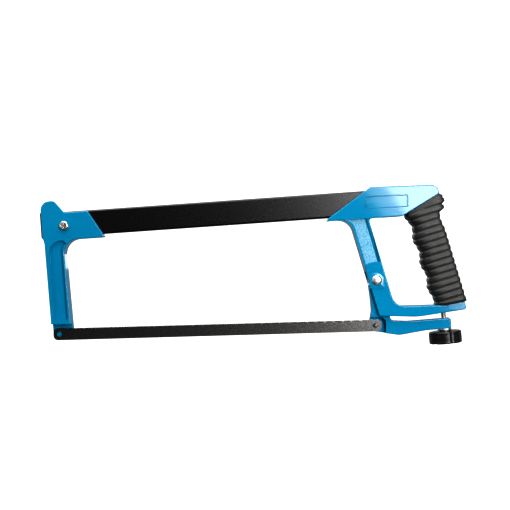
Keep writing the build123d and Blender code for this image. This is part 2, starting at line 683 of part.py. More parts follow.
with BuildPart() as thread_insert:
    with BuildSketch(screw_plane.offset(insert_top - INSERT_LENGTH)):
        Circle(INSERT_DIA / 2)
        Circle(SCREW_DIA / 2 + RUN_GAP, mode=Mode.SUBTRACT)
    extrude(amount=INSERT_LENGTH)


# ---------------------------------------------------------------- bracket and socket screws
def pan_screw(plane, length):
    """A pan-head screw with a cross recess; the plane is under its head."""
    with BuildPart() as screw:
        with BuildSketch(plane):
            Circle(FIX_HEAD / 2)
        extrude(amount=FIX_HEAD_HIGH)
        crown = screw.faces().filter_by(Axis.Y).sort_by(Axis((0, 0, 0), plane.z_dir))[-1]
        fillet(crown.edges(), FIX_HEAD_HIGH * 0.7)
        with BuildSketch(plane.offset(FIX_HEAD_HIGH)):
            Rectangle(FIX_HEAD * 0.55, FIX_HEAD * 0.13)
            Rectangle(FIX_HEAD * 0.13, FIX_HEAD * 0.55)
        extrude(amount=-FIX_HEAD_HIGH * 0.6, mode=Mode.SUBTRACT)
        with BuildSketch(plane):
            Circle(FIX_DIA / 2)
        extrude(amount=-length)
    return screw


def across_tube(along, across, from_middle):
    """A plane square to Y, at a place on the tube; its normal is -Y."""
    origin = tube_plane.from_local_coords((along, across, from_middle))
    return Plane(origin=origin, x_dir=tube_plane.x_dir, z_dir=(0, -1, 0))


bracket_at = (front + BRACKET_SCREW_BACK, -BRACKET_SCREW_LOW)
nut_seat = -BRACKET_WIDTH / 2 - LOCK_WASHER_THICK
bracket_screw = pan_screw(
    across_tube(*bracket_at, BRACKET_WIDTH / 2),
    BRACKET_WIDTH + LOCK_WASHER_THICK + NUT_THICK + 1.0,
)

with BuildPart() as bracket_lock_washer:
    with BuildSketch(across_tube(*bracket_at, -BRACKET_WIDTH / 2)):
        Circle(FIX_DIA * 0.95)
        Circle(FIX_DIA / 2 + RUN_GAP, mode=Mode.SUBTRACT)
        with Locations((FIX_DIA * 0.75, 0)):
            Rectangle(FIX_DIA, 0.5, mode=Mode.SUBTRACT)
    extrude(amount=-LOCK_WASHER_THICK)

with BuildPart() as bracket_nut:
    with BuildSketch(across_tube(*bracket_at, nut_seat)):
        RegularPolygon(NUT_FLATS / 2, 6, major_radius=False)
        Circle(FIX_DIA / 2 + RUN_GAP, mode=Mode.SUBTRACT)
    extrude(amount=-NUT_THICK)

socket_place = tube_plane.from_local_coords((rear + SOCKET_SCREW_BACK, 0, -HANDLE_WIDTH / 2 + LABEL_DEPTH))
socket_plane = Plane(origin=socket_place, x_dir=tube_plane.x_dir, z_dir=(0, 1, 0))
socket_screw = pan_screw(socket_plane, HANDLE_WIDTH / 2 - LABEL_DEPTH - TUBE_WIDTH / 2 + TUBE_WALL + 2.5)

# ---------------------------------------------------------------- files
pieces = {
    "frame_tube": frame_tube,
    "tube_end_cap": tube_end_cap,
    "front_bracket": front_bracket,
    "bracket_screw": bracket_screw,
    "bracket_lock_washer": bracket_lock_washer,
    "bracket_nut": bracket_nut,
    "front_blade_pin": front_blade_pin,
    "handle_frame": handle_frame,
    "handle_grip": handle_grip,
    "socket_screw": socket_screw,
    "thread_insert": thread_insert,
    "tension_lever": tension_lever,
    "lever_rivet": lever_rivet,
    "rivet_washer": rivet_washer,
    "rear_blade_pin": rear_blade_pin,
    "saw_blade": saw_blade,
    "screw_washer": screw_washer,
    "tension_screw": tension_screw,
    "tension_knob": tension_knob,
}
for name, piece in pieces.items():
    save(piece, name)
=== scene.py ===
import json
import math

import bmesh
import bpy
import numpy as np
from mathutils import Matrix, Vector

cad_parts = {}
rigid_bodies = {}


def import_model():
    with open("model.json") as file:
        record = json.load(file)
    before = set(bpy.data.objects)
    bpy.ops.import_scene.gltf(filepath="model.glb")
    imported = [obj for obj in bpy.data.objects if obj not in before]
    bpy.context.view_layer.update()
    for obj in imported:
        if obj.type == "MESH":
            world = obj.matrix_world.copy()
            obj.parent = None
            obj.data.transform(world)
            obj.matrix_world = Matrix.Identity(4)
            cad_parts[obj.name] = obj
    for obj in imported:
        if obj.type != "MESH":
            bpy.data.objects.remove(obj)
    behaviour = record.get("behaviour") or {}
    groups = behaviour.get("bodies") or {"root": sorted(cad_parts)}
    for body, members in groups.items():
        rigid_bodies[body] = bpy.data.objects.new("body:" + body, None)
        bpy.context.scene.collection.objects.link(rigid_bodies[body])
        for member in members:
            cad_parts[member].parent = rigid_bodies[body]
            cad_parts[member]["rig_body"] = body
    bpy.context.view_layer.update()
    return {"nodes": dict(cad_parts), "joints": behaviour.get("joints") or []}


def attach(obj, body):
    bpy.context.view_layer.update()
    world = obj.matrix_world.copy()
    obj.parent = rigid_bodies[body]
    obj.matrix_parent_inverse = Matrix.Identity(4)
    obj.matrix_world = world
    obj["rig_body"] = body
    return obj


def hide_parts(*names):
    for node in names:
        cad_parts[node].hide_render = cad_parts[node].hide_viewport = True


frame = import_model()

MM = 0.001
TINY = 1e-9               # keeps a divisor off zero
MERGE = 0.002 * MM        # points closer than this are one
nodes = frame["nodes"]
joints = {joint["name"]: joint for joint in frame["joints"]}
scene = bpy.context.scene
scene.view_settings.view_transform = "Standard"
scene.view_settings.look = "High Contrast"


# ------------------------------------------------------------------ materials
def linear(colour):
    """An sRGB hex colour as linear light: below 0.04045 a line, above it a power of 2.4."""
    parts = [int(colour[i:i + 2], 16) / 255 for i in (0, 2, 4)]
    return [p / 12.92 if p <= 0.04045 else ((p + 0.055) / 1.055) ** 2.4 for p in parts] + [1.0]


def node(tree, kind, links=None, stops=(), **settings):
    """Adds a shader node. Settings go to its properties, or to its inputs by name, links to
    its inputs by name or number, and stops are a colour ramp's two (position, hex) pairs."""
    made = tree.nodes.new(kind)
    for key, value in settings.items():
        if hasattr(made, key):
            setattr(made, key, value)
        else:
            made.inputs[key.replace("_", " ")].default_value = value
    for key, source in (links or {}).items():
        tree.links.new(source, made.inputs[key])
    if stops:
        for element, (at, colour) in zip(made.color_ramp.elements, stops):
            element.position = at
            element.color = linear(colour)
    return made


def new_material(name, **surface):
    """A material whose principled shader has the given constants."""
    made = bpy.data.materials.new(name)
    made.use_nodes = True
    tree = made.node_tree
    shader = tree.nodes["Principled BSDF"]
    for key, value in surface.items():
        shader.inputs[key.replace("_", " ")].default_value = value
    place = node(tree, "ShaderNodeTexCoord").outputs["Object"]
    return made, tree, shader, place


NOISE_LOW, NOISE_HIGH = 0.3, 0.7    # a noise pattern seldom leaves this range
# sizes of the enamel's patterns, mm; real sand is too fine to show, so SAND is coarser
PEEL, RIPPLE, GRIME, SAND = 1.1, 14, 45, 0.7
PEEL_DEEP, RIPPLE_DEEP = 0.06, 0.3                # and the depths of two of them
WEAR, CLOUD = 2.5, 25             # sizes of the metals' and the mouldings' patterns, mm
PANEL_FLOOR = (7.3, 7.7)          # the strut's sunk floor lies between these, from the mid-plane
FLOOR_FADE = 0.1                  # how softly a sunk floor's grain and its painted paleness begin and end, mm


def sunk_floor(tree, place, low, high):
    """1 on faces turned to either side whose distance from the mid-plane lies between low
    and high, in mm, and 0 elsewhere."""
    at = node(tree, "ShaderNodeSeparateXYZ", {"Vector": place}).outputs["Y"]
    depth = node(tree, "ShaderNodeMath", {0: at}, operation="ABSOLUTE").outputs[0]
    facing = node(tree, "ShaderNodeNewGeometry").outputs["Normal"]
    across = node(tree, "ShaderNodeSeparateXYZ", {"Vector": facing}).outputs["Y"]
    turned = node(tree, "ShaderNodeMath", {0: across}, operation="ABSOLUTE").outputs[0]
    above = node(
        tree, "ShaderNodeMapRange", {"Value": depth},
        From_Min=(low - FLOOR_FADE) * MM, From_Max=low * MM, To_Min=0, To_Max=1,
    )
    below = node(
        tree, "ShaderNodeMapRange", {"Value": depth},
        From_Min=high * MM, From_Max=(high + FLOOR_FADE) * MM, To_Min=1, To_Max=0,
    )
    # a face counts as turned to the side from 0.8 of square on, and wholly from 0.95
    flat = node(
        tree, "ShaderNodeMapRange", {"Value": turned},
        From_Min=0.8, From_Max=0.95, To_Min=0, To_Max=1,
    )
    share = above.outputs["Result"]
    for other in (below, flat):
        both = {0: share, 1: other.outputs["Result"]}
        share = node(tree, "ShaderNodeMath", both, operation="MULTIPLY").outputs[0]
    return share


def cast_enamel(name, body, edge, sand_and_painted_light=None):
    """Gloss enamel over a die casting: a smooth coat with a faint orange peel, 1 mm
    across, over the casting's slow ripples, and a faint darker clouding. The floor of a
    sunk panel, between two distances from the mid-plane in mm, has a sand grain and is
    duller, and its colour is painted paler, a painted highlight for the light it catches."""
    # the paint under the coat has no highlight of its own, which would pale the blue
    made, tree, shader, place = new_material(
        name, Base_Color=linear(body), Roughness=0.5, Specular_IOR_Level=0.0,
        Coat_Weight=0.8, Coat_Roughness=0.12,
    )
    peel, slow, grime = [
        node(
            tree, "ShaderNodeTexNoise", {"Vector": place}, Scale=1 / (size * MM), Detail=detail
        ).outputs["Fac"]
        for size, detail in ((PEEL, 2.0), (RIPPLE, 1.0), (GRIME, 3.0))
    ]
    colour = node(
        tree, "ShaderNodeValToRGB", {"Fac": grime}, ((0.3, edge), (0.65, body))
    ).outputs["Color"]
    rough = node(
        tree, "ShaderNodeMapRange", {"Value": peel},
        From_Min=NOISE_LOW, From_Max=NOISE_HIGH, To_Min=0.05, To_Max=0.09,
    ).outputs["Result"]
    first = node(
        tree, "ShaderNodeBump", {"Height": slow}, Strength=0.6, Distance=RIPPLE_DEEP * MM
    ).outputs["Normal"]
    second = node(
        tree, "ShaderNodeBump", {"Height": peel, "Normal": first},
        Strength=0.8, Distance=PEEL_DEEP * MM,
    ).outputs["Normal"]
    if sand_and_painted_light:
        low, high, painted_light_tint = sand_and_painted_light
        floor = sunk_floor(tree, place, low, high)
        sand = node(
            tree, "ShaderNodeTexNoise", {"Vector": place}, Scale=1 / (SAND * MM), Detail=2.0
        ).outputs["Fac"]
        # the pale stop is painted light: a paler tint for the light the grained floor catches,
        # mottled by the sand grain
        grains_and_painted_light = node(
            tree, "ShaderNodeValToRGB", {"Fac": sand}, ((0.35, body), (0.55, painted_light_tint))
        ).outputs["Color"]
        # a colour Mix node's factor, its two colours and its result, by number
        colour = node(
            tree, "ShaderNodeMix", {0: floor, 6: colour, 7: grains_and_painted_light}, data_type="RGBA"
        ).outputs[2]
        rough = node(tree, "ShaderNodeMath", {0: floor, 1: rough}, operation="MAXIMUM").outputs[0]
    tree.links.new(colour, shader.inputs["Base Color"])
    tree.links.new(rough, shader.inputs["Coat Roughness"])
    tree.links.new(second, shader.inputs["Normal"])
    return made


def dress(tree, shader, colour, vary, roughness, uneven, height, strength, depth):
    """Links a surface's colour, its roughness, which follows a pattern up and down by the
    share uneven, and a relief of the given depth in mm."""
    rough = node(
        tree, "ShaderNodeMapRange", {"Value": vary}, From_Min=NOISE_LOW, From_Max=NOISE_HIGH,
        To_Min=roughness * (1 - uneven), To_Max=roughness * (1 + uneven),
    )
    relief = node(
        tree, "ShaderNodeBump", {"Height": height}, Strength=strength, Distance=depth * MM
    )
    tree.links.new(colour, shader.inputs["Base Color"])
    tree.links.new(rough.outputs["Result"], shader.inputs["Roughness"])
    tree.links.new(relief.outputs["Normal"], shader.inputs["Normal"])


def steel(name, low, high, roughness, grain, scratch=0.02, uneven=0.2):
    """Bare, plated or lacquered steel: metallic, with grinding marks whose spacing and
    depth are in mm."""
    made, tree, shader, place = new_material(name, Metallic=1.0, Roughness=roughness)
    wear, marks = [
        node(
            tree, "ShaderNodeTexNoise", {"Vector": place}, Scale=1 / (size * MM), Detail=detail
        ).outputs["Fac"]
        for size, detail in ((WEAR, 4.0), (grain, 2.0))
    ]
    stops = ((NOISE_LOW, low), (NOISE_HIGH, high))
    colour = node(tree, "ShaderNodeValToRGB", {"Fac": wear}, stops).outputs["Color"]
    dress(tree, shader, colour, wear, roughness, uneven, marks, 0.5, scratch)
    return made


def moulded(name, low, high, roughness, grain, depth, uneven=0.12):
    """Moulded rubber, plastic or satin paint with an even grain whose size and depth are
    in mm."""
    made, tree, shader, place = new_material(name, Roughness=roughness)
    speck, cloud = [
        node(
            tree, "ShaderNodeTexNoise", {"Vector": place}, Scale=1 / (size * MM), Detail=detail
        ).outputs["Fac"]
        for size, detail in ((grain, 3.0), (CLOUD, 2.0))
    ]
    total = node(tree, "ShaderNodeMath", {0: speck, 1: cloud}, operation="ADD").outputs[0]
    share = node(
        tree, "ShaderNodeMapRange", {"Value": total},
        From_Min=0.7, From_Max=1.3, To_Min=0, To_Max=1,
    ).outputs["Result"]
    colour = node(
        tree, "ShaderNodeValToRGB", {"Fac": share}, ((0.0, low), (1.0, high))
    ).outputs["Color"]
    dress(tree, shader, colour, speck, roughness, uneven, speck, 0.8, depth)
    return made


# a gloss coat in which the soft boxes show as soft-edged bright patches
blue_enamel = cast_enamel("blue_enamel_on_cast_aluminium", "007BA0", "00749A")
# the same, but the strut's sunk panel floor has a sand grain and is painted pale and mottled, a
# painted highlight for the light it catches, where the rest shines
sandy_painted_light_enamel = cast_enamel(
    "blue_enamel_with_sandy_panels_painted_pale", "007BA0", "00749A", (*PANEL_FLOOR, "7FAFC6")
)
# nearly black, with a soft sheen
black_enamel = moulded(
    "satin_black_enamel_on_steel_tube", "080807", "0B0B0A", 0.27, 1.6, 0.001, 0.02
)
# a dull grey-black, so that the ribs show by their shading
soft_rubber = moulded("moulded_grip_rubber", "1A1A19", "262524", 0.50, 0.9, 0.14)
# black plastics with a blurred highlight: the knob's is clearer than the cap's
hard_plastic = moulded("moulded_black_nylon", "0B0B0B", "101010", 0.36, 0.7, 0.03)
cap_plastic = moulded("moulded_black_polyethylene", "0E0E0E", "151514", 0.5, 0.8, 0.03)
# bare metals take their brightness from what they mirror; the pin is the darkest
zinc_plate = steel("zinc_plated_steel", "BDBBB4", "D4D2CB", 0.36, 0.4)
bright_steel = steel("tumbled_rivet_steel", "BEBDBA", "CCCBC9", 0.46, 0.5)
pin_steel = steel("ground_pin_steel", "55534F", "77746F", 0.35, 0.3)
# lacquered steel, which darkens what it mirrors
blade_lacquer = steel("black_lacquered_blade_steel", "6B6A69", "71706F", 0.27, 0.5, 0.001, 0.03)
finishes = {
    "frame_tube": black_enamel,
    "tube_end_cap": cap_plastic,
    "front_bracket": blue_enamel,
    "bracket_screw": zinc_plate,
    "bracket_lock_washer": zinc_plate,
    "bracket_nut": zinc_plate,
    "front_blade_pin": blue_enamel,
    "handle_frame": sandy_painted_light_enamel,
    "handle_grip": soft_rubber,
    "socket_screw": zinc_plate,
    "thread_insert": zinc_plate,
    "tension_lever": blue_enamel,
    "lever_rivet": bright_steel,
    "rivet_washer": zinc_plate,
    "rear_blade_pin": pin_steel,
    "saw_blade": blade_lacquer,
    "screw_washer": zinc_plate,
    "tension_screw": zinc_plate,
    "tension_knob": hard_plastic,
}


# ------------------------------------------------------------------ camera and light
def aim(thing, place, target, roll=0.0):
    """Puts a camera or a light at a place, turned towards a target and rolled about its
    line of sight."""
    ahead = (Vector(target) - Vector(place)).normalized()
    side = ahead.cross(Vector((0, 0, 1))).normalized()
    above = side.cross(ahead)
    up = above * math.cos(roll) + side * math.sin(roll)
    right = ahead.cross(up)
    turn = Matrix((right, up, -ahead)).transposed().to_4x4()
    thing.matrix_world = Matrix.Translation(place) @ turn


def soft_light(name, place, target, size, power, roll=0.0):
    """A soft box; its width and height in metres and its power in watts."""
    lamp = bpy.data.lights.new(name, "AREA")
    lamp.shape = "RECTANGLE"
    lamp.size, lamp.size_y = size
    lamp.energy = power
    made = bpy.data.objects.new(name, lamp)
    scene.collection.objects.link(made)
    aim(made, place, target, roll)


VIEW_WIDTH = 0.4851       # metres across the view at the saw's mid-plane
VIEW_FAR = 1.0            # from the camera to the mid-plane
CAMERA_PLACE, CAMERA_ROLL = (0.020, -VIEW_FAR, 0.075), math.radians(1.526)
SENSOR = 36               # mm
BOX_SIZE = (1.1, 0.9)     # the big soft box, beside the camera on the right
BOX_ROLL = math.radians(56)
BOX_LOW_EDGE = (0.352, 0.055)                 # middle of its lower left edge, X and Z
LAMP_PLACE = Vector((0.47, -0.99, 0.17))      # the brighter middle of the soft box
LAMP_SIZE = (0.34, 0.26)
VIEW_CENTRE = Vector((0.0371, 0, 0.0701))     # what the camera is turned towards
camera = bpy.data.objects.new("camera", bpy.data.cameras.new("camera"))
scene.collection.objects.link(camera)
camera.data.sensor_width = SENSOR
camera.data.lens = SENSOR * VIEW_FAR / VIEW_WIDTH
aim(camera, CAMERA_PLACE, VIEW_CENTRE, CAMERA_ROLL)
scene.camera = camera

box_place = Vector((
    BOX_LOW_EDGE[0] + math.sin(BOX_ROLL) * BOX_SIZE[1] / 2,
    -VIEW_FAR,
    BOX_LOW_EDGE[1] + math.cos(BOX_ROLL) * BOX_SIZE[1] / 2,
))
soft_light("key_light", box_place, box_place + Vector((0, 1, 0)), BOX_SIZE, 12.6, BOX_ROLL)
soft_light("box_lamp", LAMP_PLACE, LAMP_PLACE + Vector((0, 1, 0)), LAMP_SIZE, 3.3, BOX_ROLL)
soft_light("top_light", (-0.1, -0.35, 1.1), (0.03, 0, 0.05), (1.4, 0.9), 16)
soft_light("left_fill", (-1.2, -0.8, 0.4), (0.0, 0, 0.05), (0.8, 0.8), 3)
soft_light("far_fill", (-0.2, 1.3, 0.5), (0.0, 0, 0.05), (1.2, 0.9), 5)


def white_studio(seen, behind, before):
    """A white surround: the camera sees it at one strength, and the saw is lit by a bright
    paper behind it and a dim room before it."""
    world = bpy.data.worlds.new("studio")
    scene.world = world
    world.use_nodes = True
    tree = world.node_tree
    back = tree.nodes["Background"]
    back.inputs["Color"].default_value = (1, 1, 1, 1)
    way = node(tree, "ShaderNodeTexCoord").outputs["Generated"]
    depth = node(tree, "ShaderNodeSeparateXYZ", {"Vector": way}).outputs["Y"]
    # a direction whose Y is over 0.35 meets the paper, and one under -0.1 the room
    cast = node(
        tree, "ShaderNodeMapRange", {"Value": depth},
        From_Min=-0.1, From_Max=0.35, To_Min=before, To_Max=behind,
    ).outputs["Result"]
    ray = node(tree, "ShaderNodeLightPath").outputs["Is Camera Ray"]
    strength = node(tree, "ShaderNodeMix", {"Factor": ray, "A": cast})
    strength.inputs["B"].default_value = seen
    tree.links.new(strength.outputs["Result"], back.inputs["Strength"])


white_studio(seen=1.0, behind=0.28, before=0.06)


# ------------------------------------------------------------------ making pieces
NEAR = np.array([0, -1.0, 0])


def finish_piece(name, mesh, stands_for, smooth_to=35):
    """Makes a mesh into a piece that rides on a CAD node's body and has that node's finish
    and material slot. Faces that meet at less than smooth_to degrees are shaded as one."""
    work = bmesh.new()
    work.from_mesh(mesh)
    bmesh.ops.remove_doubles(work, verts=work.verts, dist=MERGE)
    bmesh.ops.dissolve_degenerate(work, edges=work.edges, dist=MERGE / 2)
    bmesh.ops.recalc_face_normals(work, faces=work.faces)
    work.to_mesh(mesh)
    work.free()
    made = bpy.data.objects.new(name, mesh)
    scene.collection.objects.link(made)
    mesh.polygons.foreach_set("use_smooth", [True] * len(mesh.polygons))
    mesh.set_sharp_from_angle(angle=math.radians(smooth_to))
    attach(made, nodes[stands_for]["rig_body"])
    mesh.materials.clear()
    mesh.materials.append(finishes[stands_for])
    return made


SHARP_FROM = 28           # degrees between two faces of a CAD piece that make a sharp edge
FLAT_WITHIN = 1.0         # and below which they are one face


def soft_copy(name, round_off, reshape=None):
    """A CAD piece's mesh, merged into whole faces, with its sharp edges rounded off. A
    reshaping, if given, moves its corners first."""
    mesh = nodes[name].data.copy()
    mesh.name = name + "_skin"
    if reshape:
        places = np.empty(len(mesh.vertices) * 3, np.float32)
        mesh.vertices.foreach_get("co", places)
        mesh.vertices.foreach_set("co", reshape(places.reshape(-1, 3) / MM).ravel() * MM)
    work = bmesh.new()
    work.from_mesh(mesh)
    bmesh.ops.remove_doubles(work, verts=work.verts, dist=MERGE)
    bmesh.ops.dissolve_limit(
        work, angle_limit=math.radians(FLAT_WITHIN), verts=work.verts, edges=work.edges
    )
    least = math.radians(SHARP_FROM)
    sharp = [e for e in work.edges if len(e.link_faces) == 2 and e.calc_face_angle(0) > least]
    if round_off:
        bmesh.ops.bevel(
            work, geom=sharp, offset=round_off * MM, segments=2, profile=0.5,
            affect="EDGES", clamp_overlap=True,
        )
    work.to_mesh(mesh)
    work.free()
    made = finish_piece(name + "_skin", mesh, name, SHARP_FROM)
    weight = made.modifiers.new("weight", "WEIGHTED_NORMAL")
    weight.keep_sharp = True
    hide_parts(name)


def grid_mesh(name, parts):
    """A mesh from grids of points in millimetres: each (points, wrap) is a rows x columns
    array whose neighbours make quads; wrap joins the last column to the first."""
    places, faces, start = [], [], 0
    for points, wrap in parts:
        rows, columns = points.shape[:2]
        i, j = np.meshgrid(np.arange(rows - 1), np.arange(columns - (not wrap)), indexing="ij")
        k = (j + 1) % columns
        row, below = i * columns, (i + 1) * columns
        quads = np.stack([row + j, row + k, below + k, below + j], -1)
        faces.append(quads.reshape(-1, 4) + start)
        places.append(points.reshape(-1, 3))
        start += rows * columns
    places, faces = np.concatenate(places) * MM, np.concatenate(faces)
    mesh = bpy.data.meshes.new(name)
    mesh.vertices.add(len(places))
    mesh.vertices.foreach_set("co", places.astype(np.float32).ravel())
    mesh.loops.add(faces.size)
    mesh.loops.foreach_set("vertex_index", faces.ravel().astype(np.int32))
    mesh.polygons.add(len(faces))
    mesh.polygons.foreach_set("loop_start", np.arange(0, faces.size, 4, dtype=np.int32))
    mesh.update(calc_edges=True)
    return mesh


def new_piece(name, parts, stands_for, smooth_to=35):
    """A piece made from grids of points, shown in place of the CAD node it stands for."""
    made = finish_piece(name, grid_mesh(name, parts), stands_for, smooth_to)
    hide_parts(stands_for)


def smooth(value, low, high):
    """0 below low, 1 above high, and 3t^2 - 2t^3 between them."""
    t = np.clip((value - low) / (high - low), 0, 1)
    return t * t * (3 - 2 * t)


def leaning(tilt):
    """Axes turned by tilt in the plane of the saw: rightwards, upwards and to the near side."""
    c, s = math.cos(tilt), math.sin(tilt)
    return np.array([c, 0, s]), np.array([-s, 0, c]), NEAR


def put(origin, axes, *local):
    """Local coordinates along three axes from an origin, as points in the frame."""
    steps = [np.asarray(a)[..., None] * np.asarray(v) for a, v in zip(local, axes)]
    return np.asarray(origin) + sum(steps)


# ------------------------------------------------------------------ grip
HANDLE_TILT = math.radians(15.3)
GRIP_FOOT = np.array([222.03, 0, 18.0])       # the grip's middle line at the top of the base
GRIP_HALF = 15.1                               # from its middle line to its front and rear
GRIP_HALF_THICK = 13.4
SWELL, SWELL_FIRST, SWELL_PITCH = 1.3, 20.7, 23.9
RIB_FIRST, RIB_PITCH = 5.7, 6.3
RIB_DEPTH = 0.85
RIB_LIP, RIB_SLOPE = 1.5, 3.0                 # a rib's upper edge, and the dip above it
FLARE, FLARE_FROM, FLARE_TO = 1.2, 82, 93
# the seam under the head: a height up the grip, its slope, and how far forward that is
HEAD_SEAM, HEAD_SEAM_RISE, HEAD_SEAM_FRONT = 93.2, 0.281, 20.9
BASE_RISE, BASE_BEND = 0.19, 5.73             # slope of the base's top behind its bend
GRIP_LOW, GRIP_HIGH = -6.0, 112.0             # the rows' range, cut back by the two seams
grip_back, grip_up, _ = leaning(HANDLE_TILT)


def grip_section(turn, front_power=3.2, rear_power=5.4):
    """A rounded rectangle as a superellipse of unit half-sizes, squarer at the rear, with
    points spread evenly by length: |cos|^(2/n) and |sin|^(2/n) of the turn."""
    fine = np.linspace(0, 2 * np.pi, 4001)
    c, s = np.cos(fine), np.sin(fine)
    power = 2 / np.where(c > 0, rear_power, front_power)
    across, out = np.sign(c) * np.abs(c) ** power, np.sign(s) * np.abs(s) ** power
    run = np.concatenate([[0], np.cumsum(np.hypot(np.diff(across), np.diff(out)))])
    spot = turn * run[-1]
    return np.interp(spot, run, across), np.interp(spot, run, out)


def grip_front(up):
    """Front half-depth up the grip: a cosine of finger swells, and a flare under the head."""
    swell = SWELL * np.cos(2 * np.pi * (up - SWELL_FIRST) / SWELL_PITCH)
    return GRIP_HALF + swell + FLARE * smooth(up, FLARE_FROM, FLARE_TO)


def grip_rear(up):
    """Rear half-depth up the grip: straight, a slight waist, then two lobes of the thumb
    rest with a nick between them. Each is a bell or a step at its own height in mm."""
    waist = -1.3 * np.exp(-(((up - 81) / 7) ** 2))
    lobes = 5.2 * smooth(up, 86.5, 90.5) + 2.0 * smooth(up, 94, 96.5)
    notch = -0.5 * np.exp(-(((up - 94) / 1.0) ** 2)) - 3.0 * smooth(up, 101.5, 105)
    return GRIP_HALF + waist + lobes + notch


def grip_surface(columns=176, step=0.3):
    """The rubber grip: a section carried up its leaning axis. Every RIB_PITCH a rib ends in
    a lip that drops by RIB_DEPTH and eases out again over RIB_SLOPE, less round the corners.
    Each column stops at the base seam and at the slanting one under the head, and turns in."""
    turn = np.arange(columns) / columns
    across, out = grip_section(turn)
    rows = np.arange(GRIP_LOW, GRIP_HIGH, step)

    def reach(up):
        return np.where(across > 0, grip_rear(up), grip_front(up)) * across

    def seam_under(where):
        # the base's top as a height up the leaning grip, whose tilt has the sine 0.2639
        # and the cosine 0.9646
        rise = BASE_RISE * np.maximum(0, 0.965 * where + BASE_BEND)
        return (rise - 0.2639 * where) / 0.9646

    # a seam's height depends on the depth there and the depth on the height, so it is
    # found by going round a few times
    top, foot = np.full(columns, 98.0), np.full(columns, 2.0)
    for _ in range(8):
        top = HEAD_SEAM + HEAD_SEAM_RISE * (reach(top) + HEAD_SEAM_FRONT)
        foot = seam_under(reach(foot))
    up = np.clip(rows[:, None], foot, top)
    above = (up - RIB_FIRST) % RIB_PITCH
    groove = smooth(above, RIB_PITCH - RIB_LIP, RIB_PITCH) + 1 - smooth(above, 0, RIB_SLOPE)
    inside = smooth(up - foot, 1.5, 3.0) * smooth(top - up, 1.5, 3.0)
    corner = np.exp(
        -(((np.abs(across) - 0.86) / 0.12) ** 2) - ((np.abs(out) - 0.82) / 0.16) ** 2
    )
    sink = RIB_DEPTH * groove * inside * (1 - 0.45 * corner)
    lip = 1.0 * (1 - smooth(up - foot, 0.0, 2.2)) + 1.6 * (1 - smooth(top - up, 0.0, 5.0))
    deep = reach(up)
    wide = (GRIP_HALF_THICK - lip) * out
    size = np.hypot(deep, wide)
    shrink = 1 - sink / size
    deep, wide = deep * shrink, wide * shrink
    ends = []
    for row, seam, way in ((0, foot, -1), (-1, top, 1)):
        for share, sunk in ((0.96, 0.35), (0.62, 0.6)):
            ends.append((way, deep[row] * share, wide[row] * share, seam + way * sunk))
    low = [np.stack(e[1:]) for e in ends if e[0] < 0][::-1]
    high = [np.stack(e[1:]) for e in ends if e[0] > 0]
    stack = np.concatenate([np.array(low), np.stack([deep, wide, up], 1), np.array(high)])
    return put(GRIP_FOOT, (grip_back, NEAR, grip_up), stack[:, 0], stack[:, 1], stack[:, 2])


new_piece("ribbed_grip", [(grip_surface(), True)], "handle_grip", 80)


# ------------------------------------------------------------------ blade
HOLE_APART = 300.0
BLADE_TALL, BLADE_THICK = 11.6, 0.65
BLADE_END, BLADE_ROUND, BLADE_HOLE = 6.0, 4.5, 4.8
TOOTH_PITCH = 25.4 / 24
TOOTH_TALL = 0.75
SET_WAVE, SET_WIDE = 8 * TOOTH_PITCH, 0.22


def plate_loop(x, low, high, sway=0.0, gullet=1.1):
    """Round a thin plate's section at each x: up the near face and down the far one; the
    top strip, gullet mm tall, leans over by sway."""
    t = BLADE_THICK / 2
    bend = high - gullet
    near = [(low, -t, 0), (bend - 0.2, -t, 0), (bend, -t, 0.05), (high, -t, 1)]
    far = [(high, t, 1), (bend, t, 0.05), (bend - 0.2, t, 0), (low, t, 0), (low, -t, 0)]
    rows = near + far
    return np.stack([np.stack([x, y + lean * sway + 0 * x, z + 0 * x], -1) for z, y, lean in rows])


def blade_middle():
    """The toothed run between the two ends: each tooth is an upright front and a sloping
    back, TOOTH_TALL high, and the wavy set is a sine over eight teeth."""
    run = HOLE_APART - 2 * BLADE_END
    count = int(run / TOOTH_PITCH)
    # a tooth's corners: shares of its pitch, and how far down each is as a share of TOOTH_TALL
    at = np.array([0.0, 0.02, 0.55, 0.98])
    drop = np.array([0.0, 1.0, 0.55, 0.0])
    start = -run / 2 + (run - count * TOOTH_PITCH) / 2
    x = (start + TOOTH_PITCH * (np.arange(count)[:, None] + at)).ravel()
    fall = np.tile(drop, count) * TOOTH_TALL
    x = np.concatenate([[-run / 2], x, [run / 2]])
    fall = np.concatenate([[0], fall, [0]])
    fade = smooth(run / 2 - np.abs(x), 0, 6)
    sway = SET_WIDE * fade * np.sin(2 * np.pi * x / SET_WAVE)
    return plate_loop(x, -BLADE_TALL / 2, BLADE_TALL / 2 - fall, sway)


def blade_end(side):
    """A blade's end as rings round its hole, from the hole's edge out to the outline: a
    square of the blade's height with its two outer corners rounded."""
    turn = np.linspace(0, 2 * np.pi, 145)
    c, s = np.cos(turn), np.sin(turn)
    half_x, half_z = BLADE_END, BLADE_TALL / 2
    square = np.minimum(half_x / np.maximum(np.abs(c), TINY), half_z / np.maximum(np.abs(s), TINY))
    cx, cz = half_x - BLADE_ROUND, half_z - BLADE_ROUND
    along = cx * np.abs(c) + cz * np.abs(s)
    arc = along + np.sqrt(np.maximum(along ** 2 - cx ** 2 - cz ** 2 + BLADE_ROUND ** 2, 0))
    in_corner = (c * side > 0) & (arc * np.abs(c) > cx) & (arc * np.abs(s) > cz)
    far = np.where(in_corner, arc, square)
    t = BLADE_THICK / 2
    rim = BLADE_HOLE / 2
    rows = [(rim, t), (rim, -t), (rim + 0.35 * (far - rim), -t), (far, -t), (far, t), (rim, t)]
    hole = side * HOLE_APART / 2
    return np.stack([np.stack([hole + r * c, y + 0 * c, r * s], -1) for r, y in rows])


new_piece(
    "toothed_blade",
    [(blade_middle(), False), (blade_end(-1), False), (blade_end(1), False)],
    "saw_blade", 25,
)


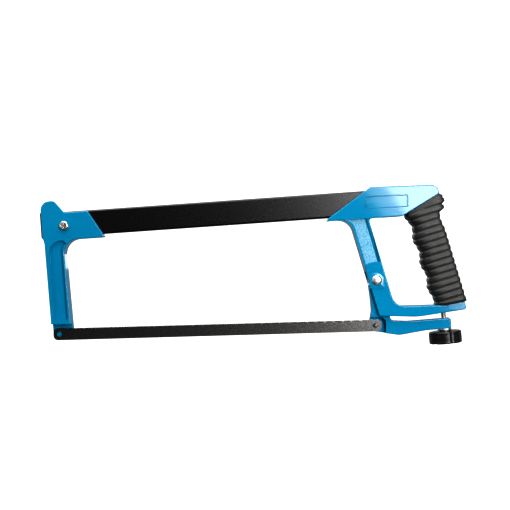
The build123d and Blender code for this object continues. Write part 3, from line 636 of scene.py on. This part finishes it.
# ------------------------------------------------------------------ screw, washer and knob
screw_foot = np.array(joints["knob_turn"]["pos_m"]) / MM
down = np.array(joints["knob_turn"]["axis"])
screw_side = np.cross(down, [0, 1, 0])
screw_axes = (screw_side, NEAR, down)
SEAT_DROP, WASHER_THICK = 11.7, 1.2
KNOB_TOP = SEAT_DROP + WASHER_THICK + 0.03    # a hair below the washer
KNOB_RADIUS, KNOB_TALL, KNOB_COLLAR, COLLAR_RADIUS = 15.5, 11.5, 1.2, 5.5
LOBES, SCALLOP, LOBE_TURN = 5, 3.6, math.radians(16.6)
SCALLOP_EASE, KNOB_RIM, KNOB_BELLY = 0.9, 1.3, 0.25
SCREW_RADIUS, THREAD_PITCH, THREAD_DEPTH = 2.49, 0.8, 0.45
CHAMFER_RADIUS, CHAMFER_SLOPE = 1.7, 0.8
SCREW_TOP = -20.6
SCREW_LOW = KNOB_TOP + KNOB_COLLAR + KNOB_TALL - 2.5     # inside the knob, above its underside


def knob_outline(turn):
    """Radius round the knob: a circle cut by five smaller ones, whose middles lie outside
    it by 0.35 of their radius. The smaller of the two radii is taken by a soft minimum,
    -e ln(exp(-a/e) + exp(-b/e)) + e ln 2, which eases the cuts' rims."""
    off = (turn - LOBE_TURN + np.pi / LOBES) % (2 * np.pi / LOBES) - np.pi / LOBES
    middle = KNOB_RADIUS + 0.35 * SCALLOP
    inside = SCALLOP ** 2 - (middle * np.sin(off)) ** 2
    notch = middle * np.cos(off) - np.sqrt(np.maximum(inside, 0))
    plain = np.where(inside > 0, notch, KNOB_RADIUS)
    ease = SCALLOP_EASE
    both = np.exp(-plain / ease) + np.exp(-KNOB_RADIUS / ease)
    return -ease * np.log(both) + ease * math.log(2)


def knob_surface(columns=240):
    """The knob's skin from its collar over the rounded top rim, down the slightly bellied
    side and over the bottom rim to the middle: (radius share, drop) rows round the outline."""
    turn = np.arange(columns) / columns * 2 * np.pi
    radius = np.minimum(knob_outline(turn), KNOB_RADIUS)
    bend = np.linspace(0, np.pi / 2, 7)
    rim = KNOB_RIM
    top, foot = KNOB_TOP + KNOB_COLLAR, KNOB_TOP + KNOB_COLLAR + KNOB_TALL
    collar = 0 * turn + COLLAR_RADIUS
    rows = [(0 * turn + SCREW_RADIUS, KNOB_TOP), (collar, KNOB_TOP), (collar, top)]
    rows += [(radius - rim + rim * np.sin(b), top + rim * (1 - np.cos(b))) for b in bend]
    for share in np.linspace(0.15, 0.85, 6):
        rows.append((radius - KNOB_BELLY * (2 * share - 1) ** 2, top + share * KNOB_TALL))
    rows += [(radius - rim + rim * np.cos(b), foot - rim * (1 - np.sin(b))) for b in bend]
    rows += [((radius - rim) * share, foot) for share in (0.7, 0.02)]
    r = np.stack([row[0] for row in rows])
    drop = np.stack([row[1] + 0 * turn for row in rows])
    return put(screw_foot, screw_axes, r * np.sin(turn), r * np.cos(turn), drop)


def screw_surface(columns=48, step=0.1):
    """An M5 thread: the radius falls from crest to root and back once each pitch as the
    helix climbs, by THREAD_DEPTH times 2.4 |phase - 1/2| - 0.1 cut off at 0 and 1, and runs
    out at a chamfer on top."""
    turn = np.arange(columns) / columns * 2 * np.pi
    drop = np.arange(SCREW_TOP, SCREW_LOW, step)[:, None]
    phase = (drop / THREAD_PITCH + turn / (2 * np.pi)) % 1
    tooth = np.clip(2.4 * np.abs(phase - 0.5) - 0.1, 0, 1)
    radius = SCREW_RADIUS - THREAD_DEPTH * tooth
    radius = np.minimum(radius, CHAMFER_RADIUS + CHAMFER_SLOPE * (drop - SCREW_TOP))
    radius = np.concatenate([np.full((1, columns), 0.05), radius])
    drop = np.concatenate([[[SCREW_TOP]], drop]) + 0 * radius
    return put(screw_foot, screw_axes, radius * np.sin(turn), radius * np.cos(turn), drop)


new_piece("lobed_knob", [(knob_surface(), True)], "tension_knob", 40)
new_piece("threaded_screw", [(screw_surface(), True)], "tension_screw", 75)


# ------------------------------------------------------------------ rivet, its seat and the label
RIVET = np.array(joints["lever_swing"]["pos_m"]) / MM
RIVET_HEAD, RIVET_TALL, RIVET_RIM = 4.9, 2.6, 0.3      # radius, height and the rim's height
SHANK, TAIL_RADIUS, TAIL_TALL = 2.5, 3.7, 1.6
RIVET_WASHER = 1.2        # thickness of the washer under the tail
CHEEK = 10.5              # from the mid-plane to the handle's side
PAD_HALF, PAD_DOWN, PAD_TALL = 7.0, 8.3, 0.45  # the seat: half width, reach below, height
PAD_CORNER = 1.38 * PAD_HALF      # from the rivet to the seat's two lower corners


def rivet_surface(columns=64):
    """A round-headed rivet: an arc from the rim to the crown, turned about its axis, and a
    shank and a smaller set head on the far side."""
    turn = np.arange(columns) / columns * 2 * np.pi
    bend = np.linspace(0, np.pi / 2, 14)
    dome = RIVET_TALL - RIVET_RIM
    set_at = -CHEEK - RIVET_WASHER
    head = [(RIVET_HEAD * math.cos(b), CHEEK + RIVET_RIM + dome * math.sin(b)) for b in bend]
    tail = [(TAIL_RADIUS * math.cos(b), set_at - TAIL_TALL * math.sin(b)) for b in bend]
    rows = head[::-1] + [(RIVET_HEAD, CHEEK), (SHANK, CHEEK), (SHANK, set_at)] + tail
    r = np.array([row[0] for row in rows])[:, None]
    out = np.array([row[1] for row in rows])[:, None] + 0 * turn
    return put(RIVET, ((1, 0, 0), (0, 0, 1), NEAR), r * np.sin(turn), r * np.cos(turn), out)


def pad_surface(columns=96):
    """The raised seat under the rivet: round above, straight-sided below with small
    corners, its edge eased; the outline shrinks towards the rivet as it rises."""
    turn = np.arange(columns) / columns * 2 * np.pi
    c, s = np.sin(turn), np.cos(turn)
    box = np.minimum(
        PAD_HALF / np.maximum(np.abs(c), TINY), PAD_DOWN / np.maximum(np.abs(s), TINY)
    )
    far = np.where(s > 0, PAD_HALF, np.minimum(box, PAD_CORNER))
    # how far in from the outline, and how high, each ring lies
    rows = [(0.0, -0.2), (0.0, 0.15), (0.2, PAD_TALL - 0.1), (0.55, PAD_TALL), (6.0, PAD_TALL)]
    r = np.stack([np.maximum(far - inset, 0.5) for inset, _ in rows])
    out = np.stack([CHEEK + tall + 0 * turn for _, tall in rows])
    return put(RIVET, ((1, 0, 0), (0, 0, 1), NEAR), r * c, r * s, out)


def bar_surface(middle, tilt, tall, wide, high):
    """A low bar with a rounded top on the near face: a half-ellipse carried up its length
    and narrowed at both ends."""
    bend = np.linspace(-np.pi / 2, np.pi / 2, 9)
    along = np.linspace(-tall / 2, tall / 2, 5)[:, None]
    taper = np.sqrt(np.clip(1 - (2 * along / tall) ** 6, 0, 1))
    return put(
        middle, leaning(tilt),
        wide / 2 * np.sin(bend) * taper, along + 0 * bend, high * np.cos(bend) * taper,
    )


def outline_surface(middle, tilt, half_long, half_tall, corner, wide, high, columns=64):
    """A low bead round a rectangle with rounded corners: a half-ellipse carried along four
    quarter circles whose centres are the corners' and whose ends are joined straight."""
    turn = (np.arange(columns) + 0.5) / columns * 2 * np.pi
    c, s = np.cos(turn), np.sin(turn)
    bend = np.linspace(-np.pi / 2, np.pi / 2, 9)[:, None]
    reach = corner + wide / 2 * np.sin(bend)
    return put(
        middle, leaning(tilt),
        np.sign(c) * (half_long - corner) + reach * c,
        np.sign(s) * (half_tall - corner) + reach * s,
        high * np.cos(bend) + 0 * turn,
    )


LABEL_TILT = math.radians(1.2)
LABEL_DEEP = 0.6          # how deep the panel is sunk
LABEL_MIDDLE = np.array([162.345, 0, 117.249])
LABEL_HALF_LONG, LABEL_HALF_TALL, LABEL_CORNER = 19.75, 5.4, 1.2
LABEL_BEAD_WIDE, LABEL_BEAD_HIGH = 0.8, 0.55
LABEL_BAR = np.array([144.2, 0, 116.9])
LABEL_BAR_TALL, LABEL_BAR_WIDE, LABEL_BAR_HIGH = 10.6, 0.5, 0.25
label_bar = bar_surface(
    LABEL_BAR + NEAR * (CHEEK - LABEL_DEEP), LABEL_TILT,
    LABEL_BAR_TALL, LABEL_BAR_WIDE, LABEL_BAR_HIGH,
)
label_outline = outline_surface(
    LABEL_MIDDLE + NEAR * (CHEEK - LABEL_DEEP), LABEL_TILT,
    LABEL_HALF_LONG, LABEL_HALF_TALL, LABEL_CORNER, LABEL_BEAD_WIDE, LABEL_BEAD_HIGH,
)
new_piece("domed_rivet", [(rivet_surface(), True)], "lever_rivet", 50)
for name, points, wrap in (
    ("rivet_seat", pad_surface(), True),
    ("label_bar", label_bar, False),
    ("label_outline", label_outline, True),
):
    finish_piece(name, grid_mesh(name, [(points, wrap)]), "handle_frame")


# ------------------------------------------------------------------ pieces with the CAD's shape
# how far each one's sharp edges are rounded off, mm; the others keep theirs
EDGE_SOFTENED = {
    "front_bracket": 0.3,
    "handle_frame": 0.25,
    "tension_lever": 0.4,
    "bracket_nut": 0.25,
    "bracket_screw": 0.08,
    "socket_screw": 0.08,
    "screw_washer": 0.12,
    "rivet_washer": 0.15,
}
RIM_INNER = 169.3         # X at the pin line of the leaning line that the rim's wall follows
RIM_SIDE, RIM_SLOPE, RIM_CORNER = 9.7, 2.4, 3.0
CHEEK_TOP_LEAST = 55.0    # the rim lies above this height
NEAR_ENOUGH = 0.06        # mm off a face or a line that a point on it may lie


def slope_rim(points):
    """The strut's rear rim with its inner wall sloped: points on the wall's upper edge, at
    RIM_SIDE from the mid-plane, go RIM_SLOPE mm rearwards, and less round its corner, in
    proportion to how far past the corner's start they lie."""
    x, y, z = points.T
    line = x + z * math.tan(HANDLE_TILT)
    on_side = np.abs(np.abs(y) - RIM_SIDE) < NEAR_ENOUGH
    upper = on_side & (line < RIM_INNER + NEAR_ENOUGH) & (z > CHEEK_TOP_LEAST)
    share = np.clip((line - RIM_INNER + RIM_CORNER) / RIM_CORNER, 0, 1)
    return points + np.stack([RIM_SLOPE * share * upper, 0 * y, 0 * z], 1)


RESHAPED = {"handle_frame": slope_rim}
remade = {"handle_grip", "saw_blade", "tension_knob", "tension_screw", "lever_rivet"}
for name, thing in nodes.items():
    thing.data.materials.clear()
    thing.data.materials.append(finishes[name])
    if name not in remade:
        soft_copy(name, EDGE_SOFTENED.get(name, 0), reshape=RESHAPED.get(name))
